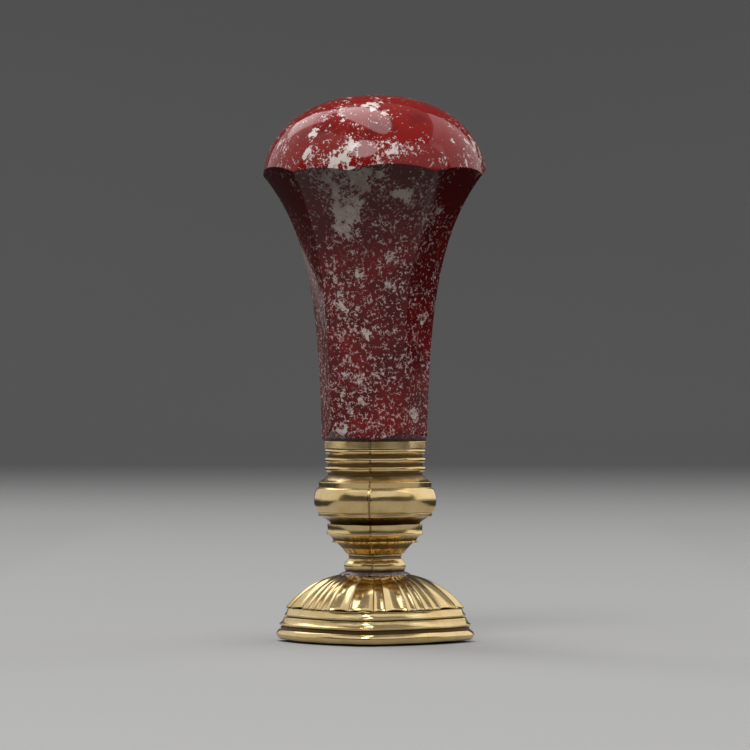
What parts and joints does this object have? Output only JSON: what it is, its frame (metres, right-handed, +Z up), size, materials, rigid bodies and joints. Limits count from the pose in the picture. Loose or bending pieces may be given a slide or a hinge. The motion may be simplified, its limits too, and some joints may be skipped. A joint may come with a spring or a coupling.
{
  "type": "wax seal stamp",
  "caption": "Desk wax seal: flared octagonal red hardstone handle with a domed top on a gilt mount with a reeded collar, knop, fluted cover and square plinth holding an engraved seal stone.",
  "frame": {"origin": "centre of the engraved face that the seal stands on", "axes": "+Z up along the axis of the handle, X and Y square to the sides of the plinth"},
  "size_m": [0.0342, 0.0342, 0.0842],
  "materials": {
    "jasper": "high polish, deep red with white, grey and ochre speckle",
    "gold": "polished gilt, darker in the grooves",
    "grey_metal": "dull grey",
    "steel": "plain turned",
    "plain_brass": "plain, unpolished",
    "cement": "dark resin",
    "carnelian": "polished, engraving matt"
  },
  "bodies": {
    "root": {"stone_handle": "jasper", "handle_cement": "cement", "tie_rod": "steel", "collar_plug": "plain_brass", "reeded_collar": "gold", "shoulder_ring": "gold", "knop_upper_shell": "gold", "knop_lower_shell": "gold", "knop_foot_ring": "gold", "step_band": "gold", "calyx_cup": "gold", "neck_ring": "gold", "neck_washer": "grey_metal", "fluted_cover": "gold", "rod_washer": "plain_brass", "rod_nut": "plain_brass", "plinth_upper_moulding": "gold", "plinth_middle_moulding": "gold", "plinth_foot_moulding": "gold", "back_plate": "plain_brass", "seal_cement": "cement", "seal_bezel": "gold", "seal_stone": "carnelian"}
  },
  "joints": []
}
